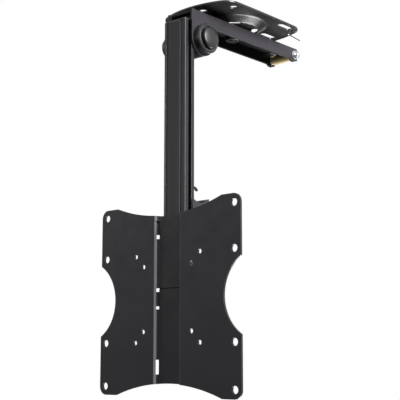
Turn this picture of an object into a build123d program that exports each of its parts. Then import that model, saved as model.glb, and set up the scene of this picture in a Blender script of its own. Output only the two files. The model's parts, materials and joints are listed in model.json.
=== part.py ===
"""Folding ceiling mount for a television, in millimetres.

A pressed plate is screwed to the ceiling. Under it swivels a channel-shaped arm,
and a slotted column hangs from the arm's front hinge and carries the screen plate.
The column folds up under the arm, where a hook catches the roller at the arm's end.
X runs across the screen, Y from the screen towards the arm's far end, Z up.
The origin is the swivel axis on the face that lies against the ceiling.
"""
from build123d import *
import math
import os

os.makedirs("parts", exist_ok=True)

# Screw patterns of the screen plate
vesa_large = 200.0
vesa_medium = 100.0
vesa_small = 75.0
large_hole_radius = 4.3
small_hole_radius = 2.75

# Sheet thicknesses and clearances
ceiling_sheet = 2.0
arm_sheet = 2.5
screen_sheet = 2.5
bracket_sheet = 2.0
running_clearance = 0.05
side_clearance = 0.5
screw_clearance = 0.25

# Ceiling plate
ceiling_half_width = 57.5
ceiling_half_length = 83.8
ceiling_corner_x = 56.5
ceiling_corner_y = 70.0
ceiling_corner_radius = 20.0
dome_top_radius = 44.0
dome_bottom_radius = 33.0
dome_drop = 6.5
dome_bend = 5.0
slot_length = 27.0
slot_width = 9.6
back_slots = ((9.0, 62.0), (47.5, 48.5))
front_hole_radius = 4.8
front_holes = ((8.0, -65.5), (44.5, -51.0))
dome_slot_ring = 28.4
dome_slot_length = 18.0
dome_slot_width = 8.0

# Swivel fastener
swivel_bolt_radius = 5.0
swivel_head_flats = 17.0
swivel_head_height = 5.0
swivel_nut_height = 8.0
swivel_thread_end = 1.0
bolt_point = 0.8
friction_washer_radius = 18.0
friction_washer_thickness = 1.1
plain_washer_radius = 10.5
plain_washer_thickness = 2.0

# Arm channel
arm_half_width = 20.0
arm_depth = 17.0
arm_bend = 1.5
arm_inner_bend = 0.5
arm_front_corner = 4.0
arm_notch_bend = 5.0
hub_lobe_radius = 19.7
hinge_y = -79.0
hinge_z = -44.5
ear_radius = 9.4
ear_corner = 3.0
ear_blend = 8.0
roller_drop = 10.4
roller_to_arm_end = 6.5
web_to_arm_end = 3.3
web_notch_length = 13.0

# Hinge
hinge_bolt_radius = 6.0
hinge_head_flats = 18.0
hinge_head_height = 5.2
hinge_washer_thickness = 0.8
hinge_washer_radius = 17.0
knuckle_radius = 19.4
barrel_radius = 18.0
barrel_length = 10.0
barrel_base = 2.2
barrel_rim = 2.8
barrel_chamfer = 1.6
cap_seat_depth = 2.0
cap_radius = 13.0
cap_height = 8.0
cap_crown = 2.2
cap_rim_fillet = 1.8
cap_skirt_radius = 12.0
cap_skirt_wall = 1.2
cap_skirt_length = 3.0

# Column
column_width = 34.0
column_depth = 17.0
column_corner = 1.4
column_wall = 2.2
column_front_y = -108.0
column_top_z = -22.5
column_below_screen_centre = 12.0
cap_plate = 1.5
cap_plug = 3.0
cap_plug_clearance = 0.1
slot_mouth = 6.4
slot_lip = 1.8
slot_inner = 9.6
slot_depth = 5.0
groove_inner_x = 8.8
groove_outer_x = 14.0
groove_depth = 1.1

# Knuckle screws
knuckle_screw_radius = 3.0
knuckle_screw_head = 5.0
knuckle_screw_head_height = 4.0
knuckle_screw_x = 6.5
knuckle_screw_z = 12.5
knuckle_screw_head_y = 1.0
nut_plate_thickness = 4.0
nut_plate_half_height = 17.0
nut_plate_clearance = 0.5

# Screen plate
screen_centre_z = -355.0
screen_front_y = -119.25
screen_half_width = 109.0
screen_half_height = 110.0
screen_waist = 84.5
waist_radius = 48.0
shoulder_fillet = 10.0
screen_corner = 10.0
screen_middle_half_height = 95.5
screen_arc_radius = 240.0
lobe_fillet = 30.0
recess_depth = 6.25
recess_half_width = 14.3
recess_wall = 5.7
recess_bend = 1.6
window_inner_x = 16.0
window_outer_x = 20.0
window_corner = 0.8
window_middle = (-12.0, 12.2)
window_top = (69.0, 90.0)
window_bottom = (-85.5, -69.0)
strip_slit_height = 0.9

# Mounting bracket behind the screen plate
flange_inner_x = 24.2
flange_outer_x = 33.0
foot_knee_x = 22.6
foot_setback = 0.7
foot_low = (-64.0, -46.0)
foot_middle = (-8.4, 8.2)
foot_top = (74.3, 93.0)
tongue_inner_x = 21.8
tongue_bottom = (-83.9, -70.5)
tongue_top = (71.3, 74.3)
bracket_low_depth = 7.6
bracket_mid_depth = 23.5
bracket_high_depth = 43.5
bracket_ear_top = 115.3
bracket_web_top = 117.8
bracket_web_bottom = 80.0
web_notch_bottom = 101.0
web_notch_width = 5.0
ear_dip = 3.5
ear_front_y = 23.0
bracket_fixing_z = (28.0, 60.0)
slot_screw_radius = 2.5
slot_screw_head = 4.75
slot_screw_head_height = 2.8
slot_nut_length = 12.0
slot_nut_thickness = 2.6
slot_nut_clearance = 0.15

# Roller
roller_radius = 6.3
roller_bolt_radius = 3.0
roller_side_gap = 0.4
roller_washer_radius = 6.0
roller_washer_thickness = 1.5
roller_nut_flats = 10.0
roller_nut_height = 5.0
roller_head_height = 4.0
roller_thread_end = 1.5
roller_edge = 0.5

# Latch
latch_pin_y = -82.0
latch_pin_above_centre = 104.0
roller_behind_pin = 21.8
latch_pin_radius = 3.0
latch_boss_radius = 6.5
latch_sheet = 3.0
latch_side_gap = 0.5
latch_open_angle = 9.0
latch_roller_gap = 0.4
latch_throat = 0.8
latch_nose = 2.0
latch_nose_overlap = 2.5
latch_tail_width = 7.0
latch_stop_gap = 0.15
latch_tab_length = 24.0
latch_spacer_radius = 5.0
spring_wire = 0.6
spring_radius = 6.2
spring_pitch = 1.5
spring_turns = 5
spring_inset = 1.0
clip_radius = 4.6
clip_thickness = 0.8
pin_head_radius = 4.6
pin_head_height = 1.6
pin_end = 1.0

# Cable hook
hook_wire = 0.8
hook_x = 51.5
hook_y = 56.0
hook_drop = 1.2
hook_lean = 5.4
hook_lean_y = 1.0
hook_bend = 2.4
hook_arm_gap = 0.2
hook_reach_x = 4.0
hook_reach_y = 30.8

# Places worked out from the sizes above
arm_top_z = -(ceiling_sheet + dome_drop + friction_washer_thickness)
arm_web_z = arm_top_z - arm_sheet
arm_bottom_z = arm_top_z - arm_depth
arm_inner = arm_half_width - arm_sheet
arm_front_y = hinge_y - hub_lobe_radius
latch_pin_z = screen_centre_z + latch_pin_above_centre
roller_y = hinge_y + hinge_z - latch_pin_z - roller_behind_pin
roller_z = arm_top_z - roller_drop
arm_end_y = roller_y + roller_to_arm_end
column_bottom_z = screen_centre_z - column_below_screen_centre
column_half = column_width / 2
column_back_y = column_front_y + column_depth
column_mid_y = column_front_y + column_depth / 2
knuckle_half = arm_inner - hinge_washer_thickness
bracket_outer = column_half + bracket_sheet
screen_back_y = screen_front_y + screen_sheet
column_bore_half_x = column_half - slot_depth - slot_lip
column_bore_depth = column_depth - 2 * column_wall
barrel_outer_x = arm_half_width + barrel_length
cap_seat_x = barrel_outer_x - cap_seat_depth


def hexagon(flats):
    """Adds a hexagon of the given size across its flats to the open sketch."""
    RegularPolygon(radius=flats / 2, side_count=6, major_radius=False)


def solid_rod(radius, x_from, x_to, y, z, mode=Mode.ADD):
    """Adds a rod along X to the open part, or cuts it from the part."""
    with Locations(((x_from + x_to) / 2, y, z)):
        Cylinder(radius, x_to - x_from, rotation=(0, 90, 0), mode=mode)


def bore(radius, x_from, x_to, y, z):
    """Cuts a hole along X from the open part."""
    solid_rod(radius, x_from, x_to, y, z, mode=Mode.SUBTRACT)


# Ceiling plate: a bowed outline with a pressed dome in its middle
with BuildPart() as ceiling_plate:
    with BuildSketch() as ceiling_outline:
        with BuildLine():
            front_left = (-ceiling_corner_x, -ceiling_corner_y)
            front_right = (ceiling_corner_x, -ceiling_corner_y)
            back_right = (ceiling_corner_x, ceiling_corner_y)
            back_left = (-ceiling_corner_x, ceiling_corner_y)
            ThreePointArc(front_left, (0, -ceiling_half_length), front_right)
            ThreePointArc(front_right, (ceiling_half_width, 0), back_right)
            ThreePointArc(back_right, (0, ceiling_half_length), back_left)
            ThreePointArc(back_left, (-ceiling_half_width, 0), front_left)
        make_face()
        fillet(ceiling_outline.vertices(), ceiling_corner_radius)
    extrude(amount=-ceiling_sheet)
    with BuildSketch(Plane.XZ):
        with BuildLine():
            Polyline(
                (0, -ceiling_sheet),
                (dome_top_radius, -ceiling_sheet),
                (dome_bottom_radius, -ceiling_sheet - dome_drop),
                (0, -ceiling_sheet - dome_drop),
                close=True,
            )
        make_face()
    revolve(axis=Axis.Z)
    outer_rim = ceiling_plate.edges().filter_by(GeomType.CIRCLE)
    dome_foot = outer_rim.filter_by(lambda e: abs(e.radius - dome_top_radius) < 0.01)
    dome_edge = outer_rim.filter_by(lambda e: abs(e.radius - dome_bottom_radius) < 0.01)
    fillet(dome_foot + dome_edge, dome_bend)
    with BuildSketch(Plane.XZ) as hollow:
        with BuildLine():
            Polyline(
                (0, 0),
                (dome_top_radius - ceiling_sheet, 0),
                (dome_bottom_radius - ceiling_sheet, -dome_drop),
                (0, -dome_drop),
                close=True,
            )
        make_face()
    revolve(axis=Axis.Z, mode=Mode.SUBTRACT)
    inner_rim = ceiling_plate.edges().filter_by(GeomType.CIRCLE)
    hollow_edge = inner_rim.filter_by(
        lambda e: abs(e.radius - dome_bottom_radius + ceiling_sheet) < 0.01
    )
    fillet(hollow_edge, dome_bend - ceiling_sheet)
    # Screw slots at the back, round screw holes at the front
    with BuildSketch():
        for side in (-1, 1):
            with Locations(*[(side * x, y) for x, y in back_slots]):
                SlotOverall(slot_length, slot_width, rotation=90)
            with Locations(*[(side * x, y) for x, y in front_holes]):
                Circle(front_hole_radius)
        with Locations((hook_x, hook_y)):
            Circle(hook_wire + running_clearance)
    extrude(amount=-ceiling_sheet, mode=Mode.SUBTRACT)
    # Bolt hole and four slots in the dome's flat bottom
    with BuildSketch():
        Circle(swivel_bolt_radius)
        with PolarLocations(dome_slot_ring, 4, start_angle=45):
            SlotOverall(dome_slot_length, dome_slot_width, rotation=90)
    extrude(amount=-(dome_drop + ceiling_sheet), mode=Mode.SUBTRACT)
ceiling_plate.part.label = "ceiling_plate"
export_step(ceiling_plate.part, "parts/ceiling_plate.step")

# Swivel bolt: its head lies in the dome and its shank is a tight fit there
swivel_length = ceiling_sheet + friction_washer_thickness + arm_sheet
swivel_length = swivel_length + plain_washer_thickness + swivel_nut_height + swivel_thread_end
with BuildPart() as swivel_bolt:
    with BuildSketch(Plane.XY.offset(-dome_drop)):
        hexagon(swivel_head_flats)
    extrude(amount=swivel_head_height)
    with BuildSketch(Plane.XY.offset(-dome_drop)):
        Circle(swivel_bolt_radius)
    extrude(amount=-swivel_length)
    chamfer(swivel_bolt.edges().sort_by(Axis.Z)[0], bolt_point)
swivel_bolt.part.label = "swivel_bolt"
export_step(swivel_bolt.part, "parts/swivel_bolt.step")

with BuildPart() as swivel_friction_washer:
    with BuildSketch(Plane.XY.offset(arm_top_z)):
        Circle(friction_washer_radius)
        Circle(swivel_bolt_radius + running_clearance, mode=Mode.SUBTRACT)
    extrude(amount=friction_washer_thickness)
swivel_friction_washer.part.label = "swivel_friction_washer"
export_step(swivel_friction_washer.part, "parts/swivel_friction_washer.step")

with BuildPart() as swivel_washer:
    with BuildSketch(Plane.XY.offset(arm_web_z)):
        Circle(plain_washer_radius)
        Circle(swivel_bolt_radius + running_clearance, mode=Mode.SUBTRACT)
    extrude(amount=-plain_washer_thickness)
swivel_washer.part.label = "swivel_washer"
export_step(swivel_washer.part, "parts/swivel_washer.step")

with BuildPart() as swivel_nut:
    with BuildSketch(Plane.XY.offset(arm_web_z - plain_washer_thickness)):
        hexagon(swivel_head_flats)
        Circle(swivel_bolt_radius, mode=Mode.SUBTRACT)
    extrude(amount=-swivel_nut_height)
swivel_nut.part.label = "swivel_nut"
export_step(swivel_nut.part, "parts/swivel_nut.step")

# Arm: a folded channel cut to a side outline with ears at the hinge and the roller
with BuildPart() as arm_channel:
    channel_height = arm_top_z - hinge_z + hub_lobe_radius
    with BuildSketch(Plane.XZ.offset(-arm_front_y)) as channel_section:
        with Locations((0, arm_top_z)):
            Rectangle(2 * arm_half_width, channel_height, align=(Align.CENTER, Align.MAX))
        fillet(channel_section.vertices().group_by(Axis.Y)[-1], arm_bend)
        with BuildSketch(mode=Mode.PRIVATE) as channel_inside:
            with Locations((0, arm_web_z)):
                Rectangle(2 * arm_inner, channel_height, align=(Align.CENTER, Align.MAX))
            fillet(channel_inside.vertices().group_by(Axis.Y)[-1], arm_inner_bend)
        add(channel_inside.sketch, mode=Mode.SUBTRACT)
    extrude(amount=-(arm_end_y - arm_front_y))
    with BuildSketch(Plane.YZ.offset(-arm_half_width)) as flange:
        with Locations((arm_front_y, arm_top_z)):
            Rectangle(arm_end_y - arm_front_y, arm_depth, align=(Align.MIN, Align.MAX))
        with Locations((hinge_y, arm_top_z)):
            Rectangle(2 * hub_lobe_radius, arm_top_z - hinge_z, align=(Align.CENTER, Align.MAX))
        with Locations((hinge_y, hinge_z)):
            Circle(hub_lobe_radius)
        with Locations((arm_end_y - ear_radius, roller_z)):
            Circle(ear_radius)
            Rectangle(ear_radius, arm_top_z - roller_z, align=(Align.MIN, Align.MIN))
        corners = flange.vertices()
        top_corners = corners.group_by(Axis.Y)[-1].sort_by(Axis.X)
        bottom_corners = corners.filter_by(lambda v: abs(v.Y - arm_bottom_z) < 0.01).sort_by(Axis.X)
        fillet(bottom_corners[0], arm_notch_bend)
        fillet(bottom_corners[-1], ear_blend)
        fillet(top_corners[0], arm_front_corner)
        fillet(top_corners[-1], ear_corner)
    extrude(amount=2 * arm_half_width, mode=Mode.INTERSECT)
    # The web starts behind the rounded front corners and ends at the rounded back ones
    with BuildSketch(Plane.XY.offset(arm_top_z)):
        with Locations((0, arm_front_y)):
            Rectangle(2 * arm_inner, arm_front_corner, align=(Align.CENTER, Align.MIN))
        with Locations((0, arm_end_y)):
            Rectangle(2 * arm_inner, web_to_arm_end, align=(Align.CENTER, Align.MAX))
        # Notch that lets the latch hook over the roller
        with Locations((-arm_inner, arm_end_y)):
            Rectangle(web_notch_width, web_to_arm_end + web_notch_length, align=(Align.MIN, Align.MAX))
    extrude(amount=-(arm_sheet + arm_inner_bend), mode=Mode.SUBTRACT)
    with BuildSketch(Plane.XY.offset(arm_top_z)):
        Circle(swivel_bolt_radius + running_clearance)
    extrude(amount=-arm_sheet, mode=Mode.SUBTRACT)
    bore(hinge_bolt_radius + running_clearance, -arm_half_width, arm_half_width, hinge_y, hinge_z)
    bore(roller_bolt_radius + running_clearance, -arm_half_width, arm_half_width, roller_y, roller_z)
arm_channel.part.label = "arm_channel"
export_step(arm_channel.part, "parts/arm_channel.step")

# Hinge covers, revolved about the hinge axis
for side_name, side in (("left", -1), ("right", 1)):
    hub_plane = Plane((0, hinge_y, hinge_z), x_dir=(side, 0, 0), z_dir=(0, -side, 0))
    hub_axis = Axis((0, hinge_y, hinge_z), (1, 0, 0))
    with BuildPart() as hub_barrel:
        with BuildSketch(hub_plane) as barrel_section:
            with BuildLine():
                Polyline(
                    (arm_half_width, hinge_bolt_radius + running_clearance),
                    (arm_half_width, barrel_radius),
                    (barrel_outer_x - barrel_chamfer, barrel_radius),
                    (barrel_outer_x, barrel_radius - barrel_chamfer),
                    (barrel_outer_x, barrel_radius - barrel_rim),
                    (cap_seat_x, barrel_radius - barrel_rim),
                    (cap_seat_x, cap_skirt_radius),
                    (arm_half_width + barrel_base, cap_skirt_radius),
                    (arm_half_width + barrel_base, hinge_bolt_radius + running_clearance),
                    close=True,
                )
            make_face()
        revolve(axis=hub_axis)
    hub_barrel.part.label = "hub_barrel_" + side_name
    export_step(hub_barrel.part, "parts/hub_barrel_" + side_name + ".step")

    with BuildPart() as hub_cap:
        with BuildSketch(hub_plane) as cap_section:
            with BuildLine():
                cap_side_x = cap_seat_x + cap_height - cap_crown
                crown_radius = (cap_radius ** 2 + cap_crown ** 2) / (2 * cap_crown)
                Polyline(
                    (cap_side_x, cap_radius),
                    (cap_seat_x, cap_radius),
                    (cap_seat_x, cap_skirt_radius - cap_plug_clearance),
                    (cap_seat_x - cap_skirt_length, cap_skirt_radius - cap_plug_clearance),
                    (cap_seat_x - cap_skirt_length, cap_skirt_radius - cap_skirt_wall),
                    (cap_seat_x, cap_skirt_radius - cap_skirt_wall),
                    (cap_seat_x, 0),
                    (cap_side_x + cap_crown, 0),
                )
                RadiusArc((cap_side_x, cap_radius), (cap_side_x + cap_crown, 0), crown_radius)
            make_face()
        revolve(axis=hub_axis)
        rim_edge = hub_cap.edges().filter_by(GeomType.CIRCLE).filter_by(
            lambda e: abs(e.radius - cap_radius) < 0.01 and abs(abs(e.center().X) - cap_side_x) < 0.01
        )
        fillet(rim_edge, cap_rim_fillet)
    hub_cap.part.label = "hub_cap_" + side_name
    export_step(hub_cap.part, "parts/hub_cap_" + side_name + ".step")

# Hinge bolt and nut, hidden in the covers
hinge_seat_x = arm_half_width + barrel_base
with BuildPart() as hinge_bolt:
    with BuildSketch(Plane.YZ.offset(-hinge_seat_x)):
        with Locations((hinge_y, hinge_z)):
            hexagon(hinge_head_flats)
    extrude(amount=-hinge_head_height)
    solid_rod(hinge_bolt_radius, -hinge_seat_x, hinge_seat_x + hinge_head_height, hinge_y, hinge_z)
hinge_bolt.part.label = "hinge_bolt"
export_step(hinge_bolt.part, "parts/hinge_bolt.step")

with BuildPart() as hinge_nut:
    with BuildSketch(Plane.YZ.offset(hinge_seat_x)):
        with Locations((hinge_y, hinge_z)):
            hexagon(hinge_head_flats)
            Circle(hinge_bolt_radius, mode=Mode.SUBTRACT)
    extrude(amount=hinge_head_height)
hinge_nut.part.label = "hinge_nut"
export_step(hinge_nut.part, "parts/hinge_nut.step")

# Knuckle: a round block with a flat that seats on the column's back
with BuildPart() as hinge_knuckle:
    with BuildSketch(Plane.YZ.offset(-knuckle_half)):
        with Locations((hinge_y, hinge_z)):
            Circle(knuckle_radius)
        with Locations((column_back_y, hinge_z)):
            Rectangle(
                2 * knuckle_radius,
                2 * knuckle_radius,
                align=(Align.MAX, Align.CENTER),
                mode=Mode.SUBTRACT,
            )
    extrude(amount=2 * knuckle_half)
    bore(hinge_bolt_radius + running_clearance, -knuckle_half, knuckle_half, hinge_y, hinge_z)
    screw_seat = Plane.XZ.offset(-(hinge_y + knuckle_screw_head_y))
    with BuildSketch(screw_seat):
        with Locations((0, hinge_z)):
            with GridLocations(2 * knuckle_screw_x, 2 * knuckle_screw_z, 2, 2):
                Circle(knuckle_screw_head + screw_clearance)
    extrude(amount=-knuckle_radius, mode=Mode.SUBTRACT)
    with BuildSketch(screw_seat):
        with Locations((0, hinge_z)):
            with GridLocations(2 * knuckle_screw_x, 2 * knuckle_screw_z, 2, 2):
                Circle(knuckle_screw_radius + screw_clearance)
    extrude(amount=knuckle_radius, mode=Mode.SUBTRACT)
hinge_knuckle.part.label = "hinge_knuckle"
export_step(hinge_knuckle.part, "parts/hinge_knuckle.step")

with BuildPart() as hinge_friction_washers:
    for start in (-arm_inner, knuckle_half):
        with BuildSketch(Plane.YZ.offset(start)):
            with Locations((hinge_y, hinge_z)):
                Circle(hinge_washer_radius)
                Circle(hinge_bolt_radius + running_clearance, mode=Mode.SUBTRACT)
            with Locations((column_back_y, hinge_z)):
                Rectangle(
                    2 * hinge_washer_radius,
                    2 * hinge_washer_radius,
                    align=(Align.MAX, Align.CENTER),
                    mode=Mode.SUBTRACT,
                )
        extrude(amount=hinge_washer_thickness)
hinge_friction_washers.part.label = "hinge_friction_washers"
export_step(hinge_friction_washers.part, "parts/hinge_friction_washers.step")

# Screws from the knuckle into a threaded plate inside the column
nut_plate_front_y = column_back_y - column_wall - nut_plate_thickness
with BuildPart() as knuckle_screws:
    screw_points = [
        (x, hinge_z + z)
        for x in (-knuckle_screw_x, knuckle_screw_x)
        for z in (-knuckle_screw_z, knuckle_screw_z)
    ]
    with BuildSketch(Plane.XZ.offset(-(hinge_y + knuckle_screw_head_y))):
        with Locations(*screw_points):
            Circle(knuckle_screw_head)
    extrude(amount=-knuckle_screw_head_height)
    with BuildSketch(Plane.XZ.offset(-(hinge_y + knuckle_screw_head_y))):
        with Locations(*screw_points):
            Circle(knuckle_screw_radius)
    extrude(amount=hinge_y + knuckle_screw_head_y - nut_plate_front_y)
    with BuildSketch(Plane.XZ.offset(-(hinge_y + knuckle_screw_head_y + knuckle_screw_head_height))):
        with Locations(*screw_points):
            hexagon(knuckle_screw_head)
    extrude(amount=knuckle_screw_head_height / 2, mode=Mode.SUBTRACT)
knuckle_screws.part.label = "knuckle_screws"
export_step(knuckle_screws.part, "parts/knuckle_screws.step")

with BuildPart() as knuckle_nut_plate:
    with BuildSketch(Plane.XZ.offset(-(column_back_y - column_wall))):
        with Locations((0, hinge_z)):
            Rectangle(2 * (column_bore_half_x - nut_plate_clearance), 2 * nut_plate_half_height)
        with Locations(*screw_points):
            Circle(knuckle_screw_radius, mode=Mode.SUBTRACT)
    extrude(amount=nut_plate_thickness)
knuckle_nut_plate.part.label = "knuckle_nut_plate"
export_step(knuckle_nut_plate.part, "parts/knuckle_nut_plate.step")


def column_outline():
    """Adds the column's outer rectangle with rounded corners to the open sketch."""
    with Locations((0, column_mid_y)):
        RectangleRounded(column_width, column_depth, column_corner)


# Column: an extrusion with a T-slot in each side and a hollow core
column_length = column_top_z - column_bottom_z - 2 * cap_plate
column_low = column_bottom_z + cap_plate
with BuildPart() as column:
    with BuildSketch(Plane.XY.offset(column_low)):
        column_outline()
        with Locations((0, column_mid_y)):
            Rectangle(2 * column_bore_half_x, column_bore_depth, mode=Mode.SUBTRACT)
        for side in (-1, 1):
            with Locations((side * (column_half - slot_lip / 2), column_mid_y)):
                Rectangle(slot_lip, slot_mouth, mode=Mode.SUBTRACT)
            with Locations((side * (column_half - slot_lip - (slot_depth - slot_lip) / 2), column_mid_y)):
                Rectangle(slot_depth - slot_lip, slot_inner, mode=Mode.SUBTRACT)
            with Locations((side * (groove_inner_x + groove_outer_x) / 2, column_front_y)):
                Rectangle(groove_outer_x - groove_inner_x, 2 * groove_depth, mode=Mode.SUBTRACT)
    extrude(amount=column_length)
    with BuildSketch(Plane.XZ.offset(-column_back_y)):
        with Locations(*screw_points):
            Circle(knuckle_screw_radius + screw_clearance)
    extrude(amount=column_wall, mode=Mode.SUBTRACT)
column.part.label = "column"
export_step(column.part, "parts/column.step")

for cap_name, cap_z, plug_way in (
    ("top", column_top_z - cap_plate, -1),
    ("bottom", column_bottom_z + cap_plate, 1),
):
    with BuildPart() as column_cap:
        with BuildSketch(Plane.XY.offset(cap_z)):
            column_outline()
        extrude(amount=-plug_way * cap_plate)
        cap_face = column_cap.faces().sort_by(Axis.Z)[0 if plug_way > 0 else -1]
        fillet(cap_face.edges(), cap_plate / 2)
        with BuildSketch(Plane.XY.offset(cap_z)):
            with Locations((0, column_mid_y)):
                Rectangle(
                    2 * (column_bore_half_x - cap_plug_clearance),
                    column_bore_depth - 2 * cap_plug_clearance,
                )
        extrude(amount=plug_way * cap_plug)
    column_cap.part.label = "column_" + cap_name + "_cap"
    export_step(column_cap.part, "parts/column_" + cap_name + "_cap.step")

# Roller between the flanges, on its own bolt
with BuildPart() as roller:
    solid_rod(roller_radius, -arm_inner + roller_side_gap, arm_inner - roller_side_gap, roller_y, roller_z)
    chamfer(roller.edges().filter_by(GeomType.CIRCLE), roller_edge)
    bore(roller_bolt_radius + running_clearance, -arm_inner, arm_inner, roller_y, roller_z)
roller.part.label = "roller"
export_step(roller.part, "parts/roller.step")

roller_seat_x = arm_half_width + roller_washer_thickness
with BuildPart() as roller_bolt:
    with BuildSketch(Plane.YZ.offset(-roller_seat_x)):
        with Locations((roller_y, roller_z)):
            hexagon(roller_nut_flats)
    extrude(amount=-roller_head_height)
    bolt_end_x = roller_seat_x + roller_nut_height + roller_thread_end
    solid_rod(roller_bolt_radius, -roller_seat_x, bolt_end_x, roller_y, roller_z)
    chamfer(roller_bolt.edges().sort_by(Axis.X)[-1], bolt_point)
roller_bolt.part.label = "roller_bolt"
export_step(roller_bolt.part, "parts/roller_bolt.step")

with BuildPart() as roller_washers:
    for start in (-roller_seat_x, arm_half_width):
        with BuildSketch(Plane.YZ.offset(start)):
            with Locations((roller_y, roller_z)):
                Circle(roller_washer_radius)
                Circle(roller_bolt_radius + running_clearance, mode=Mode.SUBTRACT)
        extrude(amount=roller_washer_thickness)
roller_washers.part.label = "roller_washers"
export_step(roller_washers.part, "parts/roller_washers.step")

with BuildPart() as roller_nut:
    with BuildSketch(Plane.YZ.offset(roller_seat_x)):
        with Locations((roller_y, roller_z)):
            hexagon(roller_nut_flats)
            Circle(roller_bolt_radius, mode=Mode.SUBTRACT)
    extrude(amount=roller_nut_height)
roller_nut.part.label = "roller_nut"
export_step(roller_nut.part, "parts/roller_nut.step")

# Screen plate: a sheet with a joggled strip down its middle, cut to a waisted outline
with BuildPart() as tv_plate:
    with BuildSketch(Plane.XY.offset(screen_centre_z)) as screen_section:
        wall_x = recess_half_width + recess_wall
        slope = math.hypot(recess_wall, recess_depth)
        shift = screen_sheet * (slope - recess_depth) / recess_wall
        front = screen_front_y
        back = screen_front_y + screen_sheet
        with BuildLine():
            Polyline(
                (-screen_half_width, front),
                (-wall_x, front),
                (-recess_half_width, front + recess_depth),
                (recess_half_width, front + recess_depth),
                (wall_x, front),
                (screen_half_width, front),
                (screen_half_width, back),
                (wall_x + shift, back),
                (recess_half_width + shift, back + recess_depth),
                (-recess_half_width - shift, back + recess_depth),
                (-wall_x - shift, back),
                (-screen_half_width, back),
                close=True,
            )
        make_face()
        bend_points = screen_section.vertices().filter_by(
            lambda v: abs(v.X) < screen_half_width - 1
        )
        fillet(bend_points, recess_bend)
    extrude(amount=screen_half_height, both=True)
    with BuildSketch(Plane.XZ.offset(-screen_front_y)) as screen_outline:
        with Locations((0, screen_centre_z)):
            Rectangle(2 * screen_half_width, 2 * screen_half_height)
        arc_shift = screen_middle_half_height + screen_arc_radius
        waist_shift = screen_waist + waist_radius
        with Locations((0, screen_centre_z + arc_shift), (0, screen_centre_z - arc_shift)):
            Circle(screen_arc_radius, mode=Mode.SUBTRACT)
        with Locations((waist_shift, screen_centre_z), (-waist_shift, screen_centre_z)):
            Circle(waist_radius, mode=Mode.SUBTRACT)
        corners = screen_outline.vertices()
        outer = corners.filter_by(
            lambda v: abs(v.X) > screen_half_width - 1
            and abs(v.Y - screen_centre_z) > screen_half_height - 1
        )
        shoulders = corners.filter_by(
            lambda v: abs(v.X) > screen_half_width - 1
            and abs(v.Y - screen_centre_z) < screen_half_height - 1
        )
        lobes = corners.filter_by(lambda v: abs(v.X) < screen_half_width - 1)
        fillet(outer, screen_corner)
        fillet(shoulders, shoulder_fillet)
        fillet(lobes, lobe_fillet)
    extrude(amount=-(recess_depth + 2 * screen_sheet), mode=Mode.INTERSECT)
    with BuildSketch(Plane.XZ.offset(-screen_front_y)):
        with Locations((0, screen_centre_z)):
            with GridLocations(vesa_large, vesa_large, 2, 2):
                Circle(large_hole_radius)
            with GridLocations(vesa_large, vesa_medium, 2, 2):
                Circle(large_hole_radius)
            with GridLocations(vesa_medium, vesa_medium, 2, 2):
                Circle(small_hole_radius)
            with GridLocations(vesa_small, vesa_small, 2, 2):
                Circle(small_hole_radius)
            for low, high in (window_bottom, window_middle, window_top):
                for side in (-1, 1):
                    with Locations((side * (window_inner_x + window_outer_x) / 2, (low + high) / 2)):
                        RectangleRounded(window_outer_x - window_inner_x, high - low, window_corner)
            with Locations((0, window_middle[1])):
                Rectangle(window_inner_x + window_outer_x, strip_slit_height, align=(Align.CENTER, Align.MAX))
    extrude(amount=-(recess_depth + 2 * screen_sheet), mode=Mode.SUBTRACT)
tv_plate.part.label = "tv_plate"
export_step(tv_plate.part, "parts/tv_plate.step")

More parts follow.
